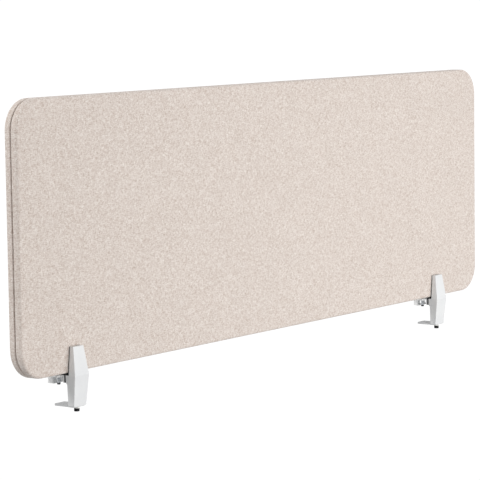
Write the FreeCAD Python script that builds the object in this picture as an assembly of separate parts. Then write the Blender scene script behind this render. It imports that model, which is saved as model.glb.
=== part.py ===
"""Desk privacy panel: two upholstered boards joined back to back, held by two desk clamps.

Frame: millimetres. Z = 0 is the desk's top surface and Y = 0 is the desk's edge, at the
middle of the panel's length. +X runs along the panel, +Y over the desk, +Z up.
"""

import FreeCAD, Part
import math
import os

V = FreeCAD.Vector

# ---------------------------------------------------------------- panel
PANEL_LENGTH = 1397.0
PANEL_HEIGHT = 444.5
CORNER_RADIUS = 50.0
HALF_THICK = 12.0  # each upholstered half, seam side to face
SEAM_GAP = 2.0  # recessed gap between the halves
EDGE_ROUND = 4.0  # soft outer edge of a half
COVER_THICK = 1.2  # fabric with its backing
FOAM_FACE = 4.0  # foam over the board's face
FOAM_EDGE = 2.0  # foam turned round the board's edge
CORE_INSET = 7.0  # core sheet's edge behind the covers' edge
CLIP_RADIUS = 5.0
CLIP_DEPTH = 4.5  # how far a joining clip goes into each board
CLIP_COLUMNS = 5
CLIP_ROWS = 3
CLIP_MARGIN = 70.0  # outer clips from the panel's edge

# ---------------------------------------------------------------- where the panel sits
PANEL_LIFT = 18.8  # panel's bottom edge above the desk
FACE_SETBACK = 2.5  # panel's front face in front of the desk's edge
LEFT_CLAMP_FROM_END = 129.0
RIGHT_CLAMP_FROM_END = 157.5

# ---------------------------------------------------------------- leg
LEG_RISE = 42.7  # leg's top above the panel's bottom edge
LEG_DROP = 36.3  # leg's bottom below the desk's surface
LEG_TOP_WIDTH = 25.8
LEG_TOP_THICK = 6.7
LEG_FOLD_WIDTH = 35.6
LEG_BOTTOM_WIDTH = 31.0
LEG_FOLD_Z = 15.0  # height of the fold across the front
LEG_FOLD_DEPTH = 17.4  # front face ahead of the desk's edge at the fold
LEG_BOTTOM_DEPTH = 12.0  # the same at the bottom
LEG_WALL = 2.0
LEG_CORNER_ROUND = 2.5  # lower corners, seen from the front
LEG_EDGE_ROUND = 0.7
LEG_HEEL = 2.5  # how far the upper back edge reaches over the desk
LEG_HEEL_LOW = 3.0  # height at which the heel starts
LEG_SOLID_TOP = 9.0  # length of the leg's solid top

# ---------------------------------------------------------------- liners and bracket
LINER_WALL = 1.5  # rubber between clamp and panel
LINER_FLOOR = 3.4  # rubber under the panel's edge
LINER_FLOOR_BACK = 14.3  # floor's reach behind the panel's face
LINER_WEB = 3.5  # rubber between leg and bracket
SIDE_WIDTH = 34.0  # width of the liner's web and the bracket's tab
BRACKET_THICK = 2.5  # tab and rear plate
SADDLE_THICK = 3.4  # tapped for the studs
TAB_LOW = 3.0  # bottom of the tab above the desk
SADDLE_WIDTH = 52.0
SADDLE_FLARE = 4.5  # length over which the saddle widens behind the tab
REAR_PLATE_WIDTH = 65.0
REAR_PLATE_FLAT = 40.0  # level part of the rear plate's bottom edge
REAR_PLATE_LOW = 0.5
REAR_PLATE_SLOPE = 2.6  # rise of the bottom edge towards the sides
REAR_PLATE_SHOULDER = 6.0  # shoulder above the panel's bottom edge
REAR_PLATE_TOP_WIDTH = 30.0
REAR_LINER_MARGIN = 2.5

# ---------------------------------------------------------------- bracket screws
BRACKET_SCREW_RADIUS = 2.0
BRACKET_SCREW_SPACING = 18.0
BRACKET_SCREW_BITE = 9.0  # length inside the leg's boss
BORE_SPARE = 1.0  # tapped hole beyond the screw's end
BOSS_RADIUS = 3.7
BUTTON_HEAD_RADIUS = 3.8
BUTTON_HEAD_HEIGHT = 2.2
BUTTON_HEAD_ROUND = 1.1
BUTTON_SOCKET_RADIUS = 1.2
BUTTON_SOCKET_DEPTH = 1.5
DRIVER_HOLE_RADIUS = 4.5  # driver's way in through the rear plate

# ---------------------------------------------------------------- lower jaw and its screw
JAW_THICK = 3.4
JAW_PROUD = 0.8  # jaw's underside below the leg's bottom
JAW_REACH = 32.0  # jaw's tip under the desk
JAW_TIP_ROUND = 2.0
JAW_TRAVEL = 15.7
RAIL_GAP = 25.8  # between the leg's two guide rails
RAIL_FRONT = 8.0  # rails' front and back, ahead of the desk's edge
RAIL_BACK = 2.0
SHELF_TOP = -1.0
SHELF_THICK = 3.0
SCREW_SETBACK = 4.6  # lead screw's axis ahead of the desk's edge
THREAD_RADIUS = 2.5
NECK_RADIUS = 2.0
SCREW_HEAD_RADIUS = 4.5
SCREW_HEAD_HEIGHT = 5.0
SCREW_HEAD_ROUND = 0.5
HEX_KEY = 4.0
HEX_KEY_DEPTH = 3.0
COLLAR_RADIUS = 4.0
COLLAR_HEIGHT = 2.5
NUT_ACROSS = 8.0
NUT_HEIGHT = 4.0
NUT_UP = 4.5  # nut above the jaw plate
WASHER_RADIUS = 4.4
WASHER_THICK = 1.0
CLIP_RING_RADIUS = 4.0
CLIP_RING_THICK = 0.8
CLIP_MOUTH = 2.4  # opening of the retaining ring
GROOVE_DEPTH = 0.4
NECK_TIP = 1.0  # neck beyond its clip

# ---------------------------------------------------------------- studs on the desk
STUD_SPACING = 39.6
STUD_SETBACK = 15.2  # studs' axes behind the desk's edge
STUD_RADIUS = 3.0
STUD_FLATS = 5.0  # across the spanner flats
STUD_FLATS_LOW = 3.6
STUD_FLATS_HIGH = 7.0
PAD_RADIUS = 2.8
PAD_HEIGHT = 2.6
PAD_SOCKET_RADIUS = 2.0
PAD_SOCKET_DEPTH = 1.6

# ---------------------------------------------------------------- clearances
RUN = 0.05  # radial, between a turning shank and its hole
SLIDE = 0.2  # each side, between sliding flats
FREE = 0.35  # between parts that pass each other
PAST = 1.0  # how far a cutter passes the face it opens
TOUCH = 0.01  # closer than this counts as touching

# ---------------------------------------------------------------- worked-out places
PANEL_TOP = PANEL_LIFT + PANEL_HEIGHT
PANEL_FRONT = -FACE_SETBACK
SEAM_Y = PANEL_FRONT + HALF_THICK + SEAM_GAP / 2
PANEL_BACK = PANEL_FRONT + 2 * HALF_THICK + SEAM_GAP
LEG_TOP = PANEL_LIFT + LEG_RISE
LEG_HOLLOW_TOP = LEG_TOP - LEG_SOLID_TOP
LINER_FRONT = PANEL_FRONT - LINER_WALL
SADDLE_TOP = PANEL_LIFT - LINER_FLOOR
SADDLE_LOW = SADDLE_TOP - SADDLE_THICK
TAB_FRONT = LEG_HEEL + LINER_WEB
TAB_BACK = TAB_FRONT + BRACKET_THICK
PLATE_FRONT = PANEL_BACK + LINER_WALL
PLATE_BACK = PLATE_FRONT + BRACKET_THICK
BRACKET_SCREW_Z = (TAB_LOW + SADDLE_LOW) / 2
SHELF_LOW = SHELF_TOP - SHELF_THICK
JAW_LOW = -LEG_DROP - JAW_PROUD
JAW_TOP = JAW_LOW + JAW_THICK
JAW_BLOCK_TOP = SHELF_LOW - FREE - JAW_TRAVEL
NUT_LOW = JAW_TOP + NUT_UP
JAW_FRONT = -(LEG_BOTTOM_DEPTH - LEG_WALL) + FREE
JAW_WIDTH = RAIL_GAP - 2 * SLIDE
COLLAR_LOW = JAW_LOW - SLIDE - COLLAR_HEIGHT
RING_LOW = SHELF_TOP + RUN + WASHER_THICK
CLAMPS = {
    "left": -PANEL_LENGTH / 2 + LEFT_CLAMP_FROM_END,
    "right": PANEL_LENGTH / 2 - RIGHT_CLAMP_FROM_END,
}


# ---------------------------------------------------------------- shape helpers
def block(x0, x1, y0, y1, z0, z1):
    """Box between two corners."""
    return Part.makeBox(x1 - x0, y1 - y0, z1 - z0, V(x0, y0, z0))


def upright(x, y, z0, z1, radius):
    """Cylinder along Z."""
    return Part.makeCylinder(radius, z1 - z0, V(x, y, z0), V(0, 0, 1))


def rearward(x, z, y0, y1, radius):
    """Cylinder along Y."""
    return Part.makeCylinder(radius, y1 - y0, V(x, y0, z), V(0, 1, 0))


def prism(points, way):
    """Closed outline of points, extruded by the vector way."""
    wire = Part.makePolygon(points + [points[0]])
    return Part.Face(wire).extrude(way)


def front_outline(half_outline, y0, y1):
    """Prism along Y from one side's (x, z) points, mirrored to the other side."""
    right = [V(x, y0, z) for x, z in half_outline]
    left = [V(-x, y0, z) for x, z in reversed(half_outline)]
    return prism(right + left, V(0, y1 - y0, 0))


def side_outline(points, x0, x1):
    """Prism along X from (y, z) points."""
    return prism([V(x0, y, z) for y, z in points], V(x1 - x0, 0, 0))


def hexagon(x, y, z0, z1, across):
    """Hexagonal prism along Z, two flats facing X."""
    radius = across / math.sqrt(3)
    angles = [math.radians(30 + 60 * i) for i in range(6)]
    points = [V(x + radius * math.cos(a), y + radius * math.sin(a), z0) for a in angles]
    return prism(points, V(0, 0, z1 - z0))


def edges_along(shape, axis, keep=lambda centre: True):
    """Straight edges parallel to axis (0, 1, 2 for X, Y, Z) whose middle passes keep."""
    found = []
    for edge in shape.Edges:
        size = edge.BoundBox
        lengths = (size.XLength, size.YLength, size.ZLength)
        if lengths[axis] > TOUCH and sum(lengths) - lengths[axis] < TOUCH and keep(size.Center):
            found.append(edge)
    return found


def fillet(shape, radius, edges):
    return shape.makeFillet(radius, edges)


# ---------------------------------------------------------------- panel
def half_slab(inset, front, back, edge_round):
    """Slab with rounded corners and a soft front edge, inset all round."""
    x = PANEL_LENGTH / 2 - inset
    slab = block(-x, x, front, back, PANEL_LIFT + inset, PANEL_TOP - inset)
    slab = fillet(slab, CORNER_RADIUS - inset, edges_along(slab, 1))
    if edge_round > 0:
        rim = [e for e in slab.Edges if e.BoundBox.YMin < front + TOUCH and e.BoundBox.YMax < front + TOUCH]
        slab = fillet(slab, edge_round, rim)
    return slab


def clip_places():
    """Centres of the joining clips, evenly spaced within the margins."""
    reach_x = PANEL_LENGTH / 2 - CLIP_MARGIN
    low, high = PANEL_LIFT + CLIP_MARGIN, PANEL_TOP - CLIP_MARGIN
    xs = [-reach_x + 2 * reach_x * i / (CLIP_COLUMNS - 1) for i in range(CLIP_COLUMNS)]
    zs = [low + (high - low) * i / (CLIP_ROWS - 1) for i in range(CLIP_ROWS)]
    return [(x, z) for x in xs for z in zs]


def clip_set(radius, depth):
    """One cylinder across the seam at each clip's place."""
    reach = SEAM_GAP / 2 + depth
    return [rearward(x, z, SEAM_Y - reach, SEAM_Y + reach, radius) for x, z in clip_places()]


def panel_nodes():
    """Boards, foam, covers, core sheet and clips; the rear half mirrors the front."""
    seam_face = PANEL_FRONT + HALF_THICK
    outer = half_slab(0, PANEL_FRONT, seam_face, EDGE_ROUND)
    foam_space = half_slab(COVER_THICK, PANEL_FRONT + COVER_THICK, seam_face, EDGE_ROUND - COVER_THICK)
    board_inset = COVER_THICK + FOAM_EDGE
    board = half_slab(board_inset, PANEL_FRONT + COVER_THICK + FOAM_FACE, seam_face, 0)
    halves = {
        "cover": outer.cut(foam_space),
        "foam": foam_space.cut(board),
        "board": board.cut(Part.makeCompound(clip_set(CLIP_RADIUS + RUN, CLIP_DEPTH + RUN))),
    }
    nodes = {}
    for name, shape in halves.items():
        nodes["front_" + name] = shape
        nodes["rear_" + name] = shape.mirror(V(0, SEAM_Y, 0), V(0, 1, 0))
    core = half_slab(CORE_INSET, SEAM_Y - SEAM_GAP / 2, SEAM_Y + SEAM_GAP / 2, 0)
    nodes["core_sheet"] = core.cut(Part.makeCompound(clip_set(CLIP_RADIUS + RUN, CLIP_DEPTH)))
    nodes["joining_clips"] = Part.makeCompound(clip_set(CLIP_RADIUS, CLIP_DEPTH))
    return nodes


# ---------------------------------------------------------------- leg
def leg_outline(shrink):
    """One side of the leg's six-sided front, as (x, z), pulled in by shrink."""
    return [
        (LEG_TOP_WIDTH / 2 - shrink, LEG_TOP),
        (LEG_FOLD_WIDTH / 2 - shrink, LEG_FOLD_Z),
        (LEG_BOTTOM_WIDTH / 2 - shrink, -LEG_DROP),
    ]


def leg_front(shrink):
    """The folded front face as (y, z) from top to bottom, moved back by shrink."""
    return [
        (LINER_FRONT - LEG_TOP_THICK + shrink, LEG_TOP),
        (-LEG_FOLD_DEPTH + shrink, LEG_FOLD_Z),
        (-LEG_BOTTOM_DEPTH + shrink, -LEG_DROP),
    ]


def leg_outer():
    """Six-sided front view crossed with the folded side view, edges softened."""
    front = front_outline(leg_outline(0), -LEG_FOLD_DEPTH - PAST, LEG_HEEL + PAST)
    corners = edges_along(front, 1, lambda c: c.z < -LEG_DROP + TOUCH)
    front = fillet(front, LEG_CORNER_ROUND, corners)
    heel = [
        (0, -LEG_DROP),
        (0, 0),
        (LEG_HEEL, LEG_HEEL_LOW),
        (LEG_HEEL, SADDLE_TOP),
        (LINER_FRONT, SADDLE_TOP),
        (LINER_FRONT, LEG_TOP),
    ]
    side = side_outline(leg_front(0) + heel, -LEG_FOLD_WIDTH, LEG_FOLD_WIDTH)
    outer = front.common(side)
    folded = [e for e in outer.Edges if is_front_edge(e)]
    return fillet(outer, LEG_EDGE_ROUND, folded)


def is_front_edge(edge):
    """Edges that lie in the leg's folded front faces, fold and top edge left sharp."""
    if edge.BoundBox.ZLength < LEG_CORNER_ROUND / 2:
        return False
    return all(abs(vertex.Y - front_depth(vertex.Z)) < TOUCH for vertex in edge.Vertexes)


def front_depth(z):
    """The folded front face's y at a height."""
    top, fold, low = leg_front(0)
    upper, lower = (top, fold) if z > fold[1] else (fold, low)
    share = (z - lower[1]) / (upper[1] - lower[1])
    return lower[0] + share * (upper[0] - lower[0])


def leg_hollow():
    """The space inside the leg's walls, open at the back and the bottom, closed at the top."""
    low = -LEG_DROP - PAST
    half_low = LEG_BOTTOM_WIDTH / 2 - LEG_WALL
    from_front = front_outline(leg_outline(LEG_WALL) + [(half_low, low)], -LEG_FOLD_DEPTH, LEG_HEEL + PAST)
    behind = leg_front(LEG_WALL) + [
        (-LEG_BOTTOM_DEPTH + LEG_WALL, low),
        (LEG_HEEL + PAST, low),
        (LEG_HEEL + PAST, LEG_TOP),
    ]
    from_side = side_outline(behind, -LEG_FOLD_WIDTH, LEG_FOLD_WIDTH)
    below = block(-LEG_FOLD_WIDTH, LEG_FOLD_WIDTH, -LEG_FOLD_DEPTH, LEG_HEEL + PAST, low, LEG_HOLLOW_TOP)
    return from_front.common(from_side).common(below)


def leg():
    """Hollow cast leg, open at the back, with rails, shelf and screw bosses."""
    outer = leg_outer()
    shell = outer.cut(leg_hollow())
    inner_parts = [
        block(-LEG_FOLD_WIDTH, LEG_FOLD_WIDTH, -LEG_FOLD_DEPTH, 0, SHELF_LOW, SHELF_TOP),
        block(RAIL_GAP / 2, LEG_FOLD_WIDTH, -RAIL_FRONT, -RAIL_BACK, -LEG_DROP, SHELF_LOW),
        block(-LEG_FOLD_WIDTH, -RAIL_GAP / 2, -RAIL_FRONT, -RAIL_BACK, -LEG_DROP, SHELF_LOW),
    ]
    for x in screw_columns():
        inner_parts.append(rearward(x, BRACKET_SCREW_Z, -LEG_FOLD_DEPTH, LEG_HEEL, BOSS_RADIUS))
    shell = shell.fuse([part.common(outer) for part in inner_parts]).removeSplitter()
    bore_end = LEG_HEEL - BRACKET_SCREW_BITE - BORE_SPARE
    holes = screw_holes(bore_end, LEG_HEEL + PAST, BRACKET_SCREW_RADIUS + RUN)
    neck_hole = upright(0, -SCREW_SETBACK, SHELF_LOW - PAST, SHELF_TOP + PAST, NECK_RADIUS + RUN)
    return shell.cut(holes + [neck_hole])


def screw_columns():
    return (-BRACKET_SCREW_SPACING / 2, BRACKET_SCREW_SPACING / 2)


def screw_holes(y0, y1, radius):
    """Cutters along both bracket screws' axes."""
    return [rearward(x, BRACKET_SCREW_Z, y0, y1, radius) for x in screw_columns()]


# ---------------------------------------------------------------- liners and bracket
def width_at(z):
    """Half the leg's width at a height above the fold."""
    share = (LEG_TOP - z) / (LEG_TOP - LEG_FOLD_Z)
    return (LEG_TOP_WIDTH + share * (LEG_FOLD_WIDTH - LEG_TOP_WIDTH)) / 2


def front_liner():
    """Rubber T: wall in front of the panel, floor under it, web down behind the leg."""
    wall = front_outline([(width_at(SADDLE_TOP), SADDLE_TOP), (LEG_TOP_WIDTH / 2, LEG_TOP)],
                         LINER_FRONT, PANEL_FRONT)
    half = width_at(SADDLE_TOP)
    floor = block(-half, half, LINER_FRONT, PANEL_FRONT + LINER_FLOOR_BACK, SADDLE_TOP, PANEL_LIFT)
    web = block(-SIDE_WIDTH / 2, SIDE_WIDTH / 2, LEG_HEEL, TAB_FRONT, TAB_LOW, SADDLE_TOP)
    liner = wall.fuse([floor, web]).removeSplitter()
    return liner.cut(screw_holes(LEG_HEEL - PAST, TAB_FRONT + PAST, BRACKET_SCREW_RADIUS + RUN))


def plate_outline(margin):
    """One side of the rear plate as (x, z), pulled in by margin."""
    shoulder = PANEL_LIFT + REAR_PLATE_SHOULDER
    return [
        (REAR_PLATE_TOP_WIDTH / 2 - margin, LEG_TOP - margin),
        (REAR_PLATE_WIDTH / 2 - margin, shoulder - margin),
        (REAR_PLATE_WIDTH / 2 - margin, REAR_PLATE_LOW + REAR_PLATE_SLOPE + margin),
        (REAR_PLATE_FLAT / 2 - margin, REAR_PLATE_LOW + margin),
    ]


def rear_liner():
    """Rubber sheet between the rear plate and the panel's back."""
    upper = [(x, max(z, PANEL_LIFT)) for x, z in plate_outline(REAR_LINER_MARGIN)[:3]]
    return front_outline(upper, PANEL_BACK, PLATE_FRONT)


def bracket():
    """Cast bracket: tab behind the leg, saddle under the panel, plate behind it."""
    tab = block(-SIDE_WIDTH / 2, SIDE_WIDTH / 2, TAB_FRONT, TAB_BACK, TAB_LOW, SADDLE_TOP)
    saddle_side = [
        (SIDE_WIDTH / 2, TAB_FRONT),
        (SIDE_WIDTH / 2, TAB_BACK),
        (SADDLE_WIDTH / 2, TAB_BACK + SADDLE_FLARE),
        (SADDLE_WIDTH / 2, PLATE_BACK),
    ]
    corners = [V(x, y, SADDLE_LOW) for x, y in saddle_side]
    corners += [V(-x, y, SADDLE_LOW) for x, y in reversed(saddle_side)]
    saddle = prism(corners, V(0, 0, SADDLE_THICK))
    plate = front_outline(plate_outline(0), PLATE_FRONT, PLATE_BACK)
    body = tab.fuse([saddle, plate]).removeSplitter()
    holes = screw_holes(TAB_FRONT - PAST, TAB_BACK + PAST, BRACKET_SCREW_RADIUS + RUN)
    holes += screw_holes(PLATE_FRONT - PAST, PLATE_BACK + PAST, DRIVER_HOLE_RADIUS)
    for x in stud_columns():
        holes.append(upright(x, STUD_SETBACK, SADDLE_LOW - PAST, SADDLE_TOP + PAST, STUD_RADIUS + RUN))
    return body.cut(holes)


def bracket_screws():
    """Two button-head screws pulling the bracket towards the leg."""
    head_top = TAB_BACK + BUTTON_HEAD_HEIGHT
    screws = []
    for x in screw_columns():
        shank = rearward(x, BRACKET_SCREW_Z, LEG_HEEL - BRACKET_SCREW_BITE, TAB_BACK, BRACKET_SCREW_RADIUS)
        head = rearward(x, BRACKET_SCREW_Z, TAB_BACK, head_top, BUTTON_HEAD_RADIUS)
        rim = [e for e in head.Edges if e.BoundBox.YMin > head_top - TOUCH]
        head = fillet(head, BUTTON_HEAD_ROUND, rim)
        socket_low = head_top - BUTTON_SOCKET_DEPTH
        socket = rearward(x, BRACKET_SCREW_Z, socket_low, head_top + PAST, BUTTON_SOCKET_RADIUS)
        screws.append(shank.fuse(head).cut(socket))
    return Part.makeCompound(screws)


# ---------------------------------------------------------------- lower jaw and lead screw
def lower_jaw():
    """Flat foot under the desk with a guide block that carries the nut."""
    foot = block(-JAW_WIDTH / 2, JAW_WIDTH / 2, JAW_FRONT, JAW_REACH, JAW_LOW, JAW_TOP)
    tips = edges_along(foot, 2, lambda c: c.y > JAW_REACH - TOUCH)
    foot = fillet(foot, JAW_TIP_ROUND, tips)
    guide = block(-JAW_WIDTH / 2, JAW_WIDTH / 2, JAW_FRONT, -FREE, JAW_LOW, JAW_BLOCK_TOP)
    body = foot.fuse(guide).removeSplitter()
    way = upright(0, -SCREW_SETBACK, JAW_LOW - PAST, JAW_BLOCK_TOP + PAST, THREAD_RADIUS + FREE)
    half = NUT_ACROSS / 2 + RUN
    pocket = block(-half, half, -SCREW_SETBACK - half, 0, NUT_LOW - RUN, NUT_LOW + NUT_HEIGHT + RUN)
    return body.cut([way, pocket])


def jaw_nut():
    """Square nut held in the jaw's pocket."""
    half = NUT_ACROSS / 2
    top = NUT_LOW + NUT_HEIGHT
    nut = block(-half, half, -SCREW_SETBACK - half, -SCREW_SETBACK + half, NUT_LOW, top)
    return nut.cut(upright(0, -SCREW_SETBACK, NUT_LOW - PAST, top + PAST, THREAD_RADIUS + RUN))


def lead_screw():
    """Socket-head screw hanging from the shelf by its neck."""
    y = -SCREW_SETBACK
    head_low = COLLAR_LOW - SCREW_HEAD_HEIGHT
    head = upright(0, y, head_low, COLLAR_LOW, SCREW_HEAD_RADIUS)
    head = fillet(head, SCREW_HEAD_ROUND, [e for e in head.Edges if e.BoundBox.ZMax < head_low + TOUCH])
    shank = upright(0, y, COLLAR_LOW, SHELF_LOW - SLIDE, THREAD_RADIUS)
    neck = upright(0, y, SHELF_LOW - SLIDE, RING_LOW + CLIP_RING_THICK + NECK_TIP, NECK_RADIUS)
    screw = head.fuse([shank, neck]).removeSplitter()
    groove = ring(RING_LOW, RING_LOW + CLIP_RING_THICK, NECK_RADIUS + PAST, NECK_RADIUS - GROOVE_DEPTH)
    key = hexagon(0, y, head_low - PAST, head_low + HEX_KEY_DEPTH, HEX_KEY)
    return screw.cut([groove, key])


def ring(z0, z1, outer, inner):
    """Ring round the lead screw's axis."""
    y = -SCREW_SETBACK
    return upright(0, y, z0, z1, outer).cut(upright(0, y, z0 - PAST, z1 + PAST, inner))


def thrust_washer():
    """Nylon washer that the retaining ring rests on."""
    return ring(RING_LOW - WASHER_THICK, RING_LOW, WASHER_RADIUS, NECK_RADIUS)


def screw_clip():
    """Retaining ring in the neck's groove, open at the front."""
    top = RING_LOW + CLIP_RING_THICK
    clip = ring(RING_LOW, top, CLIP_RING_RADIUS, NECK_RADIUS - GROOVE_DEPTH)
    front = -SCREW_SETBACK - CLIP_RING_RADIUS - PAST
    mouth = block(-CLIP_MOUTH / 2, CLIP_MOUTH / 2, front, -SCREW_SETBACK, RING_LOW - PAST, top + PAST)
    return clip.cut(mouth)


def stop_collar():
    """Nylon sleeve that keeps the jaw off the screw's head."""
    return ring(COLLAR_LOW, COLLAR_LOW + COLLAR_HEIGHT, COLLAR_RADIUS, THREAD_RADIUS)


# ---------------------------------------------------------------- studs
def stud_columns():
    return (-STUD_SPACING / 2, STUD_SPACING / 2)


def stud(x):
    """Threaded stud with spanner flats and a thin tip that turns in its pad."""
    shank = upright(x, STUD_SETBACK, PAD_HEIGHT, SADDLE_TOP, STUD_RADIUS)
    tip_low = PAD_HEIGHT - PAD_SOCKET_DEPTH + SLIDE
    tip = upright(x, STUD_SETBACK, tip_low, PAD_HEIGHT, PAD_SOCKET_RADIUS - RUN)
    body = shank.fuse(tip).removeSplitter()
    near, far = STUD_SETBACK + STUD_FLATS / 2, STUD_SETBACK + STUD_RADIUS
    flat = block(x - STUD_RADIUS, x + STUD_RADIUS, near, far, STUD_FLATS_LOW, STUD_FLATS_HIGH)
    return body.cut([flat, flat.mirror(V(x, STUD_SETBACK, 0), V(0, 1, 0))])


def pad(x):
    """Rubber cap that stands on the desk."""
    cap = upright(x, STUD_SETBACK, 0, PAD_HEIGHT, PAD_RADIUS)
    socket_low = PAD_HEIGHT - PAD_SOCKET_DEPTH
    return cap.cut(upright(x, STUD_SETBACK, socket_low, PAD_HEIGHT + PAST, PAD_SOCKET_RADIUS))


# ---------------------------------------------------------------- assembly
def clamp_nodes():
    """One clamp's pieces, centred on X = 0."""
    nodes = {
        "leg": leg(),
        "bracket": bracket(),
        "front_liner": front_liner(),
        "rear_liner": rear_liner(),
        "bracket_screws": bracket_screws(),
        "lower_jaw": lower_jaw(),
        "jaw_nut": jaw_nut(),
        "lead_screw": lead_screw(),
        "thrust_washer": thrust_washer(),
        "screw_clip": screw_clip(),
        "stop_collar": stop_collar(),
    }
    for number, x in enumerate(stud_columns(), 1):
        nodes[f"stud_{number}"] = stud(x)
        nodes[f"pad_{number}"] = pad(x)
    return nodes


def main():
    os.makedirs("parts", exist_ok=True)
    nodes = panel_nodes()
    pieces = clamp_nodes()
    for side, x in CLAMPS.items():
        for name, shape in pieces.items():
            placed = shape.copy()
            placed.translate(V(x, 0, 0))
            nodes[f"{side}_{name}"] = placed
    for name, shape in nodes.items():
        if not shape.isValid():
            raise ValueError(f"{name} isn't a valid shape")
        shape.exportStep(f"parts/{name}.step")
        print(f"{name}: {len(shape.Solids)} solids, {shape.Volume:.1f} mm3")


main()
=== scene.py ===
"""Looks of the desk privacy panel: woven covers, wadding, threaded fasteners, finishes, light and camera."""

import math

import bmesh
import bpy
import numpy as np
from mathutils import Matrix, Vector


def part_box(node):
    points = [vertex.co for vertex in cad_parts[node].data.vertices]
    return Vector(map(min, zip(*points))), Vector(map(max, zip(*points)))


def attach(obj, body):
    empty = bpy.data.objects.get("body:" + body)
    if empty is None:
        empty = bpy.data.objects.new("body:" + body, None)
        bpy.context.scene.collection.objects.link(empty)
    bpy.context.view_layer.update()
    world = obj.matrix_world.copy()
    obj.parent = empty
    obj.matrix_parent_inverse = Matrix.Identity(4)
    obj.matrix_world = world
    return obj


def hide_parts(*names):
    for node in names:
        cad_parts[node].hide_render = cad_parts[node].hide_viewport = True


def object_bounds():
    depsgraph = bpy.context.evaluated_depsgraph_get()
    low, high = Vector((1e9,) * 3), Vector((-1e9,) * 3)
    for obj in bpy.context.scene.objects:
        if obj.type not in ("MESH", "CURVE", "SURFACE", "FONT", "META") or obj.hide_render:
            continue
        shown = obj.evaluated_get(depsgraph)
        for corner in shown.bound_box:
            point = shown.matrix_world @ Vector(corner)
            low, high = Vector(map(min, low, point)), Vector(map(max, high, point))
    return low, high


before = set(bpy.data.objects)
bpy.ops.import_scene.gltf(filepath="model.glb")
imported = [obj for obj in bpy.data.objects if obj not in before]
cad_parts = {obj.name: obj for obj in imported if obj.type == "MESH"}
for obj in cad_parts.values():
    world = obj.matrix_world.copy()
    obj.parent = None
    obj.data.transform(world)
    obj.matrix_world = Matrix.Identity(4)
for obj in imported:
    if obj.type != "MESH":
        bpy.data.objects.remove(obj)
cad_low, cad_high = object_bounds()

MM = 0.001
TAU = 2 * math.pi

# ---------------------------------------------------------------- sizes of the upholstery, metres
CORNER_RADIUS = 50 * MM
FACE_ROUND = 4.2 * MM  # soft outer edge of a half
SEAM_ROUND = 1.6 * MM  # edge beside the seam
TURN_IN = 9 * MM  # cloth turned into the seam
CLOTH_THICK = 1.0 * MM
EDGE_DIP = 0.25 * MM  # how far the face sinks beside its rounded edge
RIPPLE = 0.12 * MM  # slack of the stretched cloth
FELT_GAP = 0.1 * MM
DIP_RUN = 9 * MM  # length over which the dip beside the edge fades
SIDE_POINTS = 96  # points along a long side of the outline
CORNER_POINTS = 14  # points round a corner
SEAM_ARC_POINTS = 6
FACE_ARC_POINTS = 9
EDGE_ROWS = (0.35, 0.7)  # rows of points on the flat edge, as shares of its depth
EVEN_SHARE = 0.35  # how even the rings across a face are spaced
COVER_RINGS = 26
FELT_RINGS = 14
BOARD_RINGS = 6
RIPPLE_WAVES = ((21, 9, 0), (8.5, -17, 1.3), (34, 31, 0.6))  # radians a metre in X and in Z, phase
WELD = 1e-6  # points closer than this are one
FINE_WELD = 1e-7

# ---------------------------------------------------------------- sizes of the fasteners, metres
STUD_PITCH = 1.0 * MM
STUD_THREAD = 0.3 * MM  # depth of the stud's thread
STUD_CHAMFER = 0.4 * MM
STUD_TOP_CHAMFER = 0.45 * MM  # how much narrower the shank's top face is
STUD_TIP = 0.62  # radius of the tip, as a share of the shank's
STUD_PLAY = 0.02 * MM  # between the pad's top and the shank
STUD_PLAIN = 0.5 * MM  # unthreaded length at each end of the shank
STUD_AROUND = 36  # points round a stud
LEAD_PITCH = 0.8 * MM
LEAD_THREAD = 0.35 * MM
LEAD_RADIUS = 2.5 * MM
NECK_RADIUS = 2.0 * MM
GROOVE_RADIUS = 1.6 * MM
SHELF_AND_PLAY = 3.25 * MM  # shelf, with the play above and below it
HEAD_HIGH = 5.0 * MM
KEY_APOTHEM = 2.0 * MM
KEY_DEPTH = 3.0 * MM
KEY_LAND = 3.2 * MM  # outer radius of the flat ring round the key socket
HEAD_ROUND = 0.5 * MM
HEAD_CHAMFER = 0.4 * MM
GRIP_MARGIN = 0.7 * MM  # from the head's ends to the knurls
LEAD_RUN_OUT = 0.3 * MM
LEAD_CHAMFER = 0.2 * MM
KNURLS = 36
KNURL_DEPTH = 0.12 * MM
KNURL_POINTS = 4  # points to one knurl
THREAD_ROWS = 6  # rows of points to one pitch
PAD_RIM = 0.6 * MM
PAD_SOCKET_RADIUS = 2.0 * MM
PAD_SOCKET_DEEP = 1.6 * MM
PAD_AROUND = 40  # points round a pad

# ---------------------------------------------------------------- sizes of the cloth's weave, metres
YARN = 1.2 * MM  # from one yarn to the next
TINT_RUN = 6 * MM  # length over which a yarn's tint changes
FIBRE = 0.5 * MM
CLOUD = 60 * MM
YARN_DARK, YARN_PALE = "#B9A191", "#FBF3EC"
YARN_STRIDE = 3.7  # step through the tint noise from one yarn to the next
TINT_FROM, TINT_TO = 0.26, 0.66  # the noise's range that spans the two tints
WEFT_LAYER = 50.0  # where in the noise the weft's tints are taken
CLOUD_DARK, CLOUD_PALE = 0.97, 1.03
# factors on the tint: painted shade between the yarns, and a little painted light on the tops of the crossings
GAP_PAINTED_SHADE, CROWN_PAINTED_LIGHT = 0.88, 1.02
GAP_WIDE = 0.4  # dome height at which a gap ends
FUZZ = 0.4
WEAVE_HIGH = 0.25 * MM

# ---------------------------------------------------------------- sizes of the finishes' grain, metres
DRIFT = 35 * MM  # length over which a finish's tint changes
DRIFT_FROM, DRIFT_TO = 0.3, 0.7
GLOSS_SPREAD = 0.06
GRAIN_STRENGTH = 0.4

# sockets of a mix node, for numbers and for colours
FLOAT_A, FLOAT_B, COLOUR_A, COLOUR_B = 2, 3, 6, 7


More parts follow.
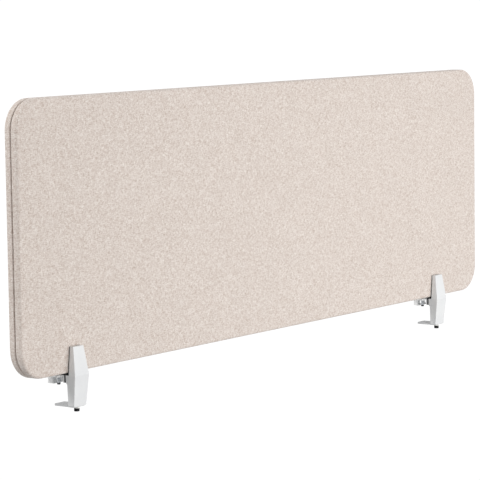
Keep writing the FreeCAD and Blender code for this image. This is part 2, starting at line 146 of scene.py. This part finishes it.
# ================================================================ mesh helpers
def mesh_piece(name, points, faces, material, body, uv=None):
    """Smooth object at the origin from (n, 3) points and (m, 4) faces, riding on a body; uv holds each
    point's place on the flat cloth."""
    mesh = bpy.data.meshes.new(name)
    mesh.from_pydata(points.tolist(), [], faces.tolist())
    if uv is not None:
        corner = np.empty(len(mesh.loops), np.int32)
        mesh.loops.foreach_get("vertex_index", corner)
        mesh.uv_layers.new(name="flat_cloth").data.foreach_set("uv", uv[corner].astype(np.float32).ravel())
    mesh.polygons.foreach_set("use_smooth", [True] * len(mesh.polygons))
    mesh.materials.append(material)
    piece = bpy.data.objects.new(name, mesh)
    bpy.context.scene.collection.objects.link(piece)
    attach(piece, body)
    return piece


def grid_faces(rows, columns):
    """Quads of a rows x columns grid of points whose last column joins the first."""
    row, column = np.meshgrid(np.arange(rows - 1), np.arange(columns), indexing="ij")
    following = (column + 1) % columns
    quads = [row * columns + column, row * columns + following,
             (row + 1) * columns + following, (row + 1) * columns + column]
    return np.stack(quads, axis=-1).reshape(-1, 4)


def weld(piece, distance):
    """Merges points that lie within distance, and turns every face outwards."""
    work = bmesh.new()
    work.from_mesh(piece.data)
    bmesh.ops.remove_doubles(work, verts=work.verts, dist=distance)
    bmesh.ops.dissolve_degenerate(work, edges=work.edges, dist=distance)
    bmesh.ops.recalc_face_normals(work, faces=work.faces)
    work.to_mesh(piece.data)
    work.free()


# ================================================================ upholstery
def outline(half_x, half_z, inset):
    """Rounded rectangle, inset: each point is a corner's or side's core point plus the outward
    normal times what is left of the corner radius. Deeper than the corner radius, the core
    rectangle shrinks in proportion. Returns (n, 2) points and (n, 2) outward normals."""
    core_x, core_z = half_x - CORNER_RADIUS, half_z - CORNER_RADIUS
    sides = [((1, 1), (-1, 1), (0, 1)), ((-1, 1), (-1, -1), (-1, 0)),
             ((-1, -1), (1, -1), (0, -1)), ((1, -1), (1, 1), (1, 0))]
    points, normals = [], []
    for start, end, normal in sides:
        count = SIDE_POINTS if normal[0] == 0 else SIDE_POINTS // 3
        share = np.linspace(0, 1, count, endpoint=False)[:, None]
        points.append(np.array(start) + share * (np.array(end) - np.array(start)))
        normals.append(np.tile(np.array(normal, float), (count, 1)))
        first = math.atan2(normal[1], normal[0])
        angle = first + np.linspace(0, TAU / 4, CORNER_POINTS, endpoint=False)
        points.append(np.tile(np.array(end, float), (CORNER_POINTS, 1)))
        normals.append(np.stack([np.cos(angle), np.sin(angle)], axis=1))
    core, normal = np.concatenate(points), np.concatenate(normals)
    left = max(CORNER_RADIUS - inset, 0)
    deep = max(inset - CORNER_RADIUS, 0)
    shrunk = core * np.array([core_x - deep, core_z - deep])
    return shrunk + normal * left, normal


def edge_profile(depth, round_face, round_seam, turn_in, inset):
    """Section of an upholstered edge as (inset, depth behind the face): the turned-in strip, a small
    quarter circle, the flat edge and a larger quarter circle up to the face."""
    small = np.linspace(0, TAU / 4, SEAM_ARC_POINTS)
    large = np.linspace(0, TAU / 4, FACE_ARC_POINTS)
    strip = [(turn_in, depth), ((turn_in + round_seam) / 2, depth)]
    seam = np.stack([round_seam * (1 - np.sin(small)), depth - round_seam * (1 - np.cos(small))], axis=1)
    flat = [(0, depth - round_seam - share * (depth - round_seam - round_face)) for share in EDGE_ROWS]
    face = np.stack([round_face * (1 - np.cos(large)), round_face * (1 - np.sin(large))], axis=1)
    section = np.concatenate([strip, seam, flat, face])
    section[:, 0] += inset
    return section


def face_rings(first, last, count):
    """Insets of the rings across the face, close together by the edge: a quadratic spacing."""
    share = np.linspace(0, 1, count + 1)[1:]
    return first + (last - first) * (EVEN_SHARE * share + (1 - EVEN_SHARE) * share**2)


def ripples(x, z):
    """Slack of stretched cloth: the sum of three long, slanting waves, from 0 to 1."""
    waves = sum(np.sin(x * along_x + z * along_z + phase) for along_x, along_z, phase in RIPPLE_WAVES)
    return (waves + len(RIPPLE_WAVES)) / (2 * len(RIPPLE_WAVES))


def half_surface(section, face_insets, face_depth, middle_z, half_x, half_z):
    """Rings of an upholstered half from the seam to the middle of its face, as (rings, n, 3) points
    and their places on the flat cloth. depth counts back from the face."""
    rings, flats = [], []
    steps = np.hypot(*np.diff(section, axis=0).T)
    unrolled = np.concatenate([np.cumsum(steps[::-1])[::-1], [0]])
    fold_points, _ = outline(half_x, half_z, section[-1, 0])
    for (inset, depth), length in zip(section, unrolled):
        flat, normal = outline(half_x, half_z, inset)
        rings.append(np.stack([flat[:, 0], np.full(len(flat), depth), flat[:, 1] + middle_z], axis=1))
        flats.append(fold_points + normal * length)
    for inset in face_insets:
        flat, _ = outline(half_x, half_z, inset)
        near = math.exp(-(inset - section[-1, 0]) / DIP_RUN)
        slack = RIPPLE * (1 - near) * ripples(flat[:, 0], flat[:, 1])
        depth = face_depth + EDGE_DIP * near * (1 - near) * 4 + slack
        rings.append(np.stack([flat[:, 0], depth, flat[:, 1] + middle_z], axis=1))
        flats.append(flat)
    return np.stack(rings), np.stack(flats)


def place_half(rings, side):
    """Depths behind the face become Y in the frame: side 1 is the front half, -1 the rear half."""
    placed = rings.copy()
    placed[..., 1] = cover_face[side] + side * rings[..., 1]
    return placed


def cover(side):
    """Woven cover of one half: rings from the turned-in strip round the edge to the middle of the
    face, given the cloth's thickness inwards."""
    name = HALF_NAMES[side]
    section = edge_profile(half_depth, FACE_ROUND, SEAM_ROUND, TURN_IN, 0)
    insets = face_rings(section[-1, 0], half_high, COVER_RINGS)
    rings, flats = half_surface(section, insets, 0, middle_z, half_long, half_high)
    rings = place_half(rings, side)
    faces = grid_faces(*rings.shape[:2])
    piece = mesh_piece(name + "_fabric", rings.reshape(-1, 3), faces, cloth, "panel", uv=flats.reshape(-1, 2))
    weld(piece, WELD)
    thick = piece.modifiers.new("cloth", "SOLIDIFY")
    thick.thickness = CLOTH_THICK
    thick.offset = -1
    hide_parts(name + "_cover")


def wadding(side):
    """Felt under a cover: an outer face just inside the cloth and an inner face on the board, closed
    round the board's back edge."""
    name = HALF_NAMES[side]
    low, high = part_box(name + "_board")
    board_inset = low.x - cad_low[0]
    board_depth = abs((low.y if side > 0 else high.y) - cover_face[side])
    under = CLOTH_THICK + FELT_GAP
    section = edge_profile(half_depth - 2 * under, FACE_ROUND - under, SEAM_ROUND, board_inset - under, under)
    section[:, 1] += under
    insets = face_rings(section[-1, 0], half_high, FELT_RINGS)
    outer, _ = half_surface(section, insets, under + EDGE_DIP, middle_z, half_long, half_high)
    inner_section = np.array([(board_inset, half_depth - under), (board_inset, board_depth)])
    inner_insets = face_rings(board_inset, half_high, BOARD_RINGS)
    inner, _ = half_surface(inner_section, inner_insets, board_depth, middle_z, half_long, half_high)
    inner[len(inner_section):, :, 1] = board_depth
    rings = place_half(np.concatenate([inner[::-1], outer]), side)
    faces = grid_faces(*rings.shape[:2])
    piece = mesh_piece(name + "_wadding", rings.reshape(-1, 3), faces, felt, "panel")
    weld(piece, WELD)
    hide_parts(name + "_foam")


# ================================================================ turned and threaded pieces
def turned(name, axis_x, axis_y, heights, radii, around, material, body, twist=None):
    """Surface of revolution about a vertical axis: radii at heights, with twist(angle, height, radius)
    reshaping each radius; the first and last radii are 0, which closes the ends."""
    angle = np.linspace(0, TAU, around, endpoint=False)[None, :]
    height = np.array(heights)[:, None]
    radius = np.array(radii)[:, None] * np.ones_like(angle)
    if twist is not None:
        radius = twist(angle, height * np.ones_like(angle), radius)
    points = np.stack([axis_x + radius * np.cos(angle), axis_y + radius * np.sin(angle),
                       height * np.ones_like(angle)], axis=-1)
    piece = mesh_piece(name, points.reshape(-1, 3), grid_faces(*radius.shape), material, body)
    weld(piece, FINE_WELD)
    return piece


def thread_cut(pitch, hand, low, high, depth):
    """A rolled thread: inside low..high the radius drops by depth times a triangle wave that climbs
    one pitch a turn; hand is 1 for a right-hand thread, -1 for a left-hand one."""
    def cut(angle, height, radius):
        phase = (height / pitch - hand * angle / TAU) % 1
        wave = np.abs(phase - 0.5) * 2
        inside = (height > low) & (height < high)
        return radius - np.where(inside, depth * (1 - wave), 0)
    return cut


def stud(side, number):
    """Zinc-plated stud: the thin tip held by the pad and a chamfered, threaded shank."""
    node = f"{side}_stud_{number}"
    low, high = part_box(node)
    x, y, radius = (low.x + high.x) / 2, (low.y + high.y) / 2, (high.x - low.x) / 2
    pad_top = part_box(f"{side}_pad_{number}")[1].z
    shank_low = pad_top + STUD_PLAY
    steps = np.arange(shank_low + STUD_PLAIN, high.z - STUD_PLAIN, STUD_PITCH / THREAD_ROWS)
    heights = [low.z, low.z, pad_top, shank_low, shank_low + STUD_CHAMFER, *steps,
               high.z - STUD_CHAMFER, high.z, high.z]
    tip, top = radius * STUD_TIP, radius - STUD_TOP_CHAMFER
    radii = [0, tip, tip, radius - STUD_CHAMFER, radius, *[radius] * len(steps), radius, top, 0]
    thread = thread_cut(STUD_PITCH, 1, steps[0], steps[-1], STUD_THREAD)
    piece = turned(node + "_threaded", x, y, heights, radii, STUD_AROUND, zinc, node, thread)
    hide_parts(node)


def lead_screw(side):
    """Black socket-head screw: key socket, knurled head, left-hand thread and the grooved neck. In the
    socket the radius is the apothem over the cosine of the angle from the nearest flat's middle; on
    the head it drops by a cosine wave for the knurls."""
    node = f"{side}_lead_screw"
    low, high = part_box(node)
    x, y, radius = (low.x + high.x) / 2, (low.y + high.y) / 2, (high.x - low.x) / 2
    clip_low, clip_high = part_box(f"{side}_screw_clip")
    collar_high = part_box(f"{side}_stop_collar")[1].z
    head_top = low.z + HEAD_HIGH
    thread_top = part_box(f"{side}_thrust_washer")[0].z - SHELF_AND_PLAY
    floor = low.z + KEY_DEPTH
    rounding = np.linspace(0, TAU / 4, 4)
    grip = np.linspace(low.z + GRIP_MARGIN, head_top - GRIP_MARGIN, 3)
    steps = np.arange(collar_high, thread_top - LEAD_RUN_OUT, LEAD_PITCH / THREAD_ROWS)
    head = [(floor, 0), (floor, KEY_APOTHEM), (low.z, KEY_APOTHEM), (low.z, KEY_LAND)]
    head += [(low.z + HEAD_ROUND * (1 - math.cos(a)), radius - HEAD_ROUND * (1 - math.sin(a))) for a in rounding]
    head += [(z, radius) for z in grip]
    head += [(head_top - HEAD_CHAMFER, radius), (head_top, radius - HEAD_CHAMFER), (head_top, LEAD_RADIUS)]
    shank = [(z, LEAD_RADIUS) for z in steps]
    shank += [(thread_top - LEAD_CHAMFER, LEAD_RADIUS - LEAD_THREAD), (thread_top, NECK_RADIUS)]
    neck = [(clip_low.z, NECK_RADIUS), (clip_low.z, GROOVE_RADIUS), (clip_high.z, GROOVE_RADIUS)]
    neck += [(clip_high.z, NECK_RADIUS), (high.z - LEAD_CHAMFER, NECK_RADIUS)]
    neck += [(high.z, NECK_RADIUS - LEAD_CHAMFER), (high.z, 0)]
    heights, radii = np.array(head + shank + neck).T
    thread = thread_cut(LEAD_PITCH, -1, collar_high, steps[-1], LEAD_THREAD)

    def reshape(angle, height, plain):
        from_flat = (angle + TAU / 12) % (TAU / 6) - TAU / 12
        in_socket = np.isclose(plain, KEY_APOTHEM) & (height < head_top)
        on_grip = (height >= grip[0]) & (height <= grip[-1]) & ~in_socket & (plain > LEAD_RADIUS)
        knurled = plain - np.where(on_grip, KNURL_DEPTH * (1 - np.cos(KNURLS * angle)), 0)
        return thread(angle, height, np.where(in_socket, KEY_APOTHEM / np.cos(from_flat), knurled))

    piece = turned(node + "_knurled", x, y, heights, radii, KNURL_POINTS * KNURLS, black_oxide, f"{side}_screw",
                   reshape)
    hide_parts(node)


def pad(side, number):
    """Rubber cap: a low drum with rounded rims and a socket that the stud's tip turns in."""
    node = f"{side}_pad_{number}"
    low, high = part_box(node)
    x, y, radius = (low.x + high.x) / 2, (low.y + high.y) / 2, (high.x - low.x) / 2
    quarter = np.linspace(0, TAU / 4, 5)
    heights = [low.z, *(low.z + PAD_RIM * (1 - np.cos(quarter))), *(high.z - PAD_RIM * (1 - np.sin(quarter))),
               high.z, high.z - PAD_SOCKET_DEEP, high.z - PAD_SOCKET_DEEP]
    radii = [0, *(radius - PAD_RIM * (1 - np.sin(quarter))), *(radius - PAD_RIM * (1 - np.cos(quarter))),
             PAD_SOCKET_RADIUS, PAD_SOCKET_RADIUS, 0]
    piece = turned(node + "_cap", x, y, heights, radii, PAD_AROUND, rubber, node)
    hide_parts(node)


# ================================================================ materials
def linear(hex_colour):
    """sRGB hex value as linear RGBA."""
    parts = [int(hex_colour[i:i + 2], 16) / 255 for i in (1, 3, 5)]
    return (*[c / 12.92 if c <= 0.04045 else ((c + 0.055) / 1.055) ** 2.4 for c in parts], 1.0)


def node(tree, kind, inputs=None, **settings):
    """Adds a node: settings are its properties, and inputs maps each socket to a value, to an output
    to link, or to a node whose first output is linked."""
    made = tree.nodes.new(kind)
    for key, value in settings.items():
        setattr(made, key, value)
    for socket, value in (inputs or {}).items():
        if isinstance(value, bpy.types.Node):
            value = value.outputs[0]
        if isinstance(value, bpy.types.NodeSocket):
            tree.links.new(value, made.inputs[socket])
        else:
            made.inputs[socket].default_value = value
    return made


def material(name, **shader_inputs):
    """Material with one Principled shader; returns the material, its tree and its shader."""
    made = bpy.data.materials.new(name)
    made.use_nodes = True
    tree = made.node_tree
    shader = tree.nodes["Principled BSDF"]
    for socket, value in shader_inputs.items():
        shader.inputs[socket.replace("_", " ")].default_value = value
    return made, tree, shader


def plain_weave_cloth():
    """Melange upholstery cloth in plain weave, dull, with a soft sheen at grazing angles. Where a
    crossing's column and row add up to an even number the warp lies on top, elsewhere the weft. Each
    yarn's tint drifts along its length, and each crossing stands up as a dome: the product of two
    sines, with painted shade between the domes. Furry fibres and slow clouds are laid over that."""
    made, tree, shader = material("plain_weave_melange", Roughness=0.92, Sheen_Weight=0.25, Sheen_Roughness=0.6,
                                  Specular_IOR_Level=0.25)
    place = node(tree, "ShaderNodeUVMap", uv_map="flat_cloth")
    axes = node(tree, "ShaderNodeSeparateXYZ", {0: place})
    across = node(tree, "ShaderNodeMath", {0: axes.outputs[0], 1: 1 / YARN}, operation="MULTIPLY")
    along = node(tree, "ShaderNodeMath", {0: axes.outputs[1], 1: 1 / YARN}, operation="MULTIPLY")
    column = node(tree, "ShaderNodeMath", {0: across}, operation="FLOOR")
    row = node(tree, "ShaderNodeMath", {0: along}, operation="FLOOR")
    crossing = node(tree, "ShaderNodeMath", {0: column, 1: row}, operation="ADD")
    weft_on_top = node(tree, "ShaderNodeMath", {0: crossing, 1: 2.0}, operation="FLOORED_MODULO")
    # tint of the warp and of the weft: each yarn has its own, and it changes along the yarn
    warp_number = node(tree, "ShaderNodeMath", {0: column, 1: YARN_STRIDE}, operation="MULTIPLY")
    warp_run = node(tree, "ShaderNodeMath", {0: axes.outputs[1], 1: 1 / TINT_RUN}, operation="MULTIPLY")
    weft_number = node(tree, "ShaderNodeMath", {0: row, 1: YARN_STRIDE}, operation="MULTIPLY")
    weft_run = node(tree, "ShaderNodeMath", {0: axes.outputs[0], 1: 1 / TINT_RUN}, operation="MULTIPLY")
    warp_place = node(tree, "ShaderNodeCombineXYZ", {0: warp_number, 1: warp_run})
    weft_place = node(tree, "ShaderNodeCombineXYZ", {0: weft_run, 1: weft_number, 2: WEFT_LAYER})
    warp = node(tree, "ShaderNodeTexNoise", {0: warp_place, "Scale": 1.0, "Detail": 2.0})
    weft = node(tree, "ShaderNodeTexNoise", {0: weft_place, "Scale": 1.0, "Detail": 2.0})
    tone = node(tree, "ShaderNodeMix", {0: weft_on_top, FLOAT_A: warp.outputs[0], FLOAT_B: weft.outputs[0]})
    share = node(tree, "ShaderNodeMapRange", {0: tone, "From Min": TINT_FROM, "From Max": TINT_TO})
    yarns = node(tree, "ShaderNodeMix", {0: share, COLOUR_A: linear(YARN_DARK), COLOUR_B: linear(YARN_PALE)},
                 data_type="RGBA")
    # fibres along the yarns, and slow clouds from the dyeing
    fine = node(tree, "ShaderNodeTexNoise", {0: place, "Scale": 1 / FIBRE, "Detail": 2.0, "Roughness": 0.7})
    cloudy = node(tree, "ShaderNodeTexNoise", {0: place, "Scale": 1 / CLOUD, "Detail": 2.0})
    clouds = node(tree, "ShaderNodeMapRange", {0: cloudy, "To Min": CLOUD_DARK, "To Max": CLOUD_PALE})
    # painted shade: the tint is darkened between the yarns and a little painted light is put on the tops of the
    # crossings
    wave_across = node(tree, "ShaderNodeMath", {0: across, 1: math.pi}, operation="MULTIPLY")
    wave_along = node(tree, "ShaderNodeMath", {0: along, 1: math.pi}, operation="MULTIPLY")
    bow_across = node(tree, "ShaderNodeMath", {0: wave_across}, operation="SINE")
    bow_along = node(tree, "ShaderNodeMath", {0: wave_along}, operation="SINE")
    product = node(tree, "ShaderNodeMath", {0: bow_across, 1: bow_along}, operation="MULTIPLY")
    dome = node(tree, "ShaderNodeMath", {0: product}, operation="ABSOLUTE")
    painted_gap_shade = node(tree, "ShaderNodeMapRange", {0: dome, "From Max": GAP_WIDE, "To Min": GAP_PAINTED_SHADE,
                                             "To Max": CROWN_PAINTED_LIGHT})
    shade = node(tree, "ShaderNodeMath", {0: painted_gap_shade, 1: clouds}, operation="MULTIPLY")
    shaded = node(tree, "ShaderNodeMix", {0: 1.0, COLOUR_A: yarns.outputs[2], COLOUR_B: shade}, data_type="RGBA",
                  blend_type="MULTIPLY")
    tree.links.new(shaded.outputs[2], shader.inputs["Base Color"])
    fuzz = node(tree, "ShaderNodeMath", {0: fine, 1: FUZZ}, operation="MULTIPLY")
    height = node(tree, "ShaderNodeMath", {0: dome, 1: fuzz}, operation="ADD")
    bump = node(tree, "ShaderNodeBump", {"Strength": 0.5, "Distance": WEAVE_HIGH, "Height": height})
    tree.links.new(bump.outputs[0], shader.inputs["Normal"])
    return made


def grained(name, colours, roughness, grain, bump_height, **shader_inputs):
    """Finish whose colour and gloss drift between two tints with a fine grain, in metres, as bump."""
    made, tree, shader = material(name, **shader_inputs)
    place = node(tree, "ShaderNodeTexCoord").outputs["Object"]
    drift = node(tree, "ShaderNodeTexNoise", {0: place, "Scale": 1 / DRIFT, "Detail": 3.0})
    fine = node(tree, "ShaderNodeTexNoise", {0: place, "Scale": 1 / grain, "Detail": 2.0, "Roughness": 0.6})
    share = node(tree, "ShaderNodeMapRange", {0: drift, "From Min": DRIFT_FROM, "From Max": DRIFT_TO})
    dark, light = (linear(colour) for colour in colours)
    tint = node(tree, "ShaderNodeMix", {0: share, COLOUR_A: dark, COLOUR_B: light}, data_type="RGBA")
    gloss = node(tree, "ShaderNodeMapRange", {0: fine, "To Min": roughness - GLOSS_SPREAD,
                                              "To Max": roughness + GLOSS_SPREAD})
    bump = node(tree, "ShaderNodeBump", {"Strength": GRAIN_STRENGTH, "Distance": bump_height, "Height": fine.outputs[0]})
    tree.links.new(tint.outputs[2], shader.inputs["Base Color"])
    tree.links.new(gloss.outputs[0], shader.inputs["Roughness"])
    tree.links.new(bump.outputs[0], shader.inputs["Normal"])
    return made


cloth = plain_weave_cloth()
# white polyester powder coat on zinc casting: satin, with a faint orange-peel skin
powder_coat = grained("white_powder_coat", ("#EBECED", "#F1F2F2"), 0.42, 1.2 * MM, 0.04 * MM, IOR=1.5)
# the same coat on the jaw, in a greyer tint: painted shade, standing in for the shade the jaw sits in below the
# panel
jaw_coat_painted_shade = grained("white_powder_coat_jaw_painted_shade", ("#C9CACB", "#D4D5D6"), 0.45, 1.2 * MM, 0.04 * MM, IOR=1.5)
# the same coat on the bracket casting, in a whiter tint: painted light, standing in for light on its plate,
# which sits in the panel's shade
bracket_coat_painted_light = grained("white_powder_coat_bracket_painted_light", ("#F8F9F9", "#FEFEFE"), 0.42, 1.2 * MM, 0.04 * MM, IOR=1.5)
# moulded EPDM rubber: nearly black, dull, with a fine moulded grain
rubber = grained("black_epdm_rubber", ("#141415", "#1B1A1A"), 0.72, 0.6 * MM, 0.05 * MM, IOR=1.52)
# bright zinc plating on steel: grey mirror dulled by a fine matt grain
zinc = grained("bright_zinc_plating", ("#BFC3C8", "#CDD0D3"), 0.3, 0.5 * MM, 0.01 * MM, Metallic=1.0)
# black oxide on alloy steel: dark, slightly oily gloss
black_oxide = grained("black_oxide_steel", ("#141416", "#1C1D20"), 0.38, 0.5 * MM, 0.01 * MM, Metallic=0.6)
# white polyamide 6: waxy, slightly warm
nylon = grained("white_polyamide", ("#E8E7E2", "#EFEEEA"), 0.4, 0.8 * MM, 0.01 * MM, IOR=1.53)
# needled polyester felt: matt, fibrous, off-white
felt = grained("needled_felt", ("#D8D6D1", "#E6E4DF"), 0.95, 0.7 * MM, 0.3 * MM)
# medium-density fibreboard: brown, fine fibres
fibreboard = grained("fibreboard", ("#9C7B57", "#B08F68"), 0.8, 0.9 * MM, 0.05 * MM)
# dark brown polypropylene sheet between the halves
dark_sheet = grained("brown_polypropylene", ("#2E231C", "#3A2D25"), 0.6, 1.0 * MM, 0.03 * MM, IOR=1.49)
# natural polypropylene of the push-in clips
clip_plastic = grained("natural_polypropylene", ("#D9D8D2", "#E4E3DE"), 0.45, 1.0 * MM, 0.02 * MM, IOR=1.49)

# ================================================================ the object
front_low, front_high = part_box("front_cover")
rear_low, rear_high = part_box("rear_cover")
half_long = (front_high.x - front_low.x) / 2
half_high = (front_high.z - front_low.z) / 2
middle_z = (front_high.z + front_low.z) / 2
half_depth = front_high.y - front_low.y
cover_face = {1: front_low.y, -1: rear_high.y}
HALF_NAMES = {1: "front", -1: "rear"}

# the jaw's tint carries painted shade and the bracket's tint painted light; both are the leg's white coat
NODE_MATERIALS = {
    "board": fibreboard, "core_sheet": dark_sheet, "joining_clips": clip_plastic, "leg": powder_coat,
    "bracket": bracket_coat_painted_light, "front_liner": rubber, "rear_liner": rubber, "bracket_screws": zinc,
    "lower_jaw": jaw_coat_painted_shade, "jaw_nut": zinc, "lead_screw": black_oxide, "thrust_washer": nylon,
    "screw_clip": black_oxide, "stop_collar": nylon, "foam": felt, "cover": cloth, "stud": zinc, "pad": rubber,
}


def finish_nodes():
    """Each CAD node takes the material whose key its name ends with, numbers aside."""
    for name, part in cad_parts.items():
        plain = name.rstrip("_12")
        key = max((k for k in NODE_MATERIALS if plain.endswith(k)), key=len)
        for slot in part.material_slots:
            slot.material = NODE_MATERIALS[key]


finish_nodes()
for half in HALF_NAMES:
    wadding(half)
    cover(half)
for clamp in ("left", "right"):
    lead_screw(clamp)
    for count in (1, 2):
        stud(clamp, count)
        pad(clamp, count)


# ================================================================ studio
SURROUND = 0.53  # strength of the light from all round
WHITE = 1.05  # strength of the ground as the camera sees it
FLOOR_REACH, FLOOR_Z = 60.0, -6.0  # far enough below to leave room for views from underneath
# place, target, size and power of each lamp
KEY_LIGHT = ((0.5, -2.2, 0.15), (0.2, 0, 0.1), (3.0, 2.2), 39.5)
BACK_LIGHT = ((-2.6, 1.1, 1.9), (-0.7, 0, 0.2), (1.2, 1.2), 37)
CAMERA_PLACE = (-3.5085, -2.4792, 0.6237)
CAMERA_YAW, CAMERA_PITCH, CAMERA_ROLL = -53.891, 5.881, -0.825  # degrees; pitch counts downwards
LENS, SENSOR, CLIP_END = 180.4, 36.0, 200  # the lens and sensor in millimetres


def area_light(name, place, target, size, power):
    """Rectangular white soft light at place, turned towards target."""
    light = bpy.data.lights.new(name, "AREA")
    light.shape = "RECTANGLE"
    light.size, light.size_y = size
    light.energy = power
    lamp = bpy.data.objects.new(name, light)
    lamp.visible_camera = False
    bpy.context.scene.collection.objects.link(lamp)
    away = np.array(place) - np.array(target)
    lamp.matrix_world = look_matrix(place, -away / np.linalg.norm(away), 0.0)


def look_matrix(place, forward, roll):
    """World matrix of a camera or lamp at place that looks along forward, rolled about its view."""
    forward = np.array(forward, float)
    right = np.cross(forward, (0, 0, 1))
    right /= np.linalg.norm(right)
    up = np.cross(right, forward)
    turned_right = right * math.cos(roll) + up * math.sin(roll)
    turned_up = up * math.cos(roll) - right * math.sin(roll)
    columns = np.stack([turned_right, turned_up, -forward, place], axis=1)
    return Matrix([*columns.tolist(), (0, 0, 0, 1)])


def seen_white(tree, unseen):
    """Shader that the camera sees as white ground, while the object is lit by the unseen shader."""
    white = node(tree, "ShaderNodeEmission", {"Color": linear("#FFFFFF"), "Strength": WHITE})
    ray = node(tree, "ShaderNodeLightPath")
    mixed = node(tree, "ShaderNodeMixShader", {0: ray.outputs["Is Camera Ray"], 1: unseen, 2: white.outputs[0]})
    return mixed.outputs[0]


def studio():
    """White surround and floor, one wide softbox in front and a smaller one behind the left end."""
    scene = bpy.context.scene
    scene.view_settings.view_transform = "Standard"
    world = bpy.data.worlds.new("surround")
    scene.world = world
    world.use_nodes = True
    tree = world.node_tree
    fill = tree.nodes["Background"]
    fill.inputs["Color"].default_value = linear("#FFFFFF")
    fill.inputs["Strength"].default_value = SURROUND
    tree.links.new(seen_white(tree, fill.outputs[0]), tree.nodes["World Output"].inputs["Surface"])

    floor_mat, tree, floor_shader = material("pale_floor", Roughness=1.0, Specular_IOR_Level=0.0)
    floor_shader.inputs["Base Color"].default_value = linear("#E0E0E0")
    tree.links.new(seen_white(tree, floor_shader.outputs[0]), tree.nodes["Material Output"].inputs["Surface"])
    corners = [(FLOOR_REACH * x, FLOOR_REACH * y, FLOOR_Z) for x, y in ((-1, -1), (1, -1), (1, 1), (-1, 1))]
    mesh = bpy.data.meshes.new("floor")
    mesh.from_pydata(corners, [], [(0, 1, 2, 3)])
    mesh.materials.append(floor_mat)
    floor = bpy.data.objects.new("floor", mesh)
    scene.collection.objects.link(floor)

    area_light("key", *KEY_LIGHT)
    area_light("back", *BACK_LIGHT)


def camera():
    """Long lens, standing to the left of the panel's front and a little above it."""
    lens = bpy.data.cameras.new("camera")
    lens.lens = LENS
    lens.sensor_width = SENSOR
    lens.clip_end = CLIP_END
    holder = bpy.data.objects.new("camera", lens)
    bpy.context.scene.collection.objects.link(holder)
    turn, down, roll = math.radians(CAMERA_YAW), math.radians(CAMERA_PITCH), math.radians(CAMERA_ROLL)
    forward = (-math.sin(turn) * math.cos(down), math.cos(turn) * math.cos(down), -math.sin(down))
    holder.matrix_world = look_matrix(CAMERA_PLACE, forward, roll)
    bpy.context.scene.camera = holder


studio()
camera()
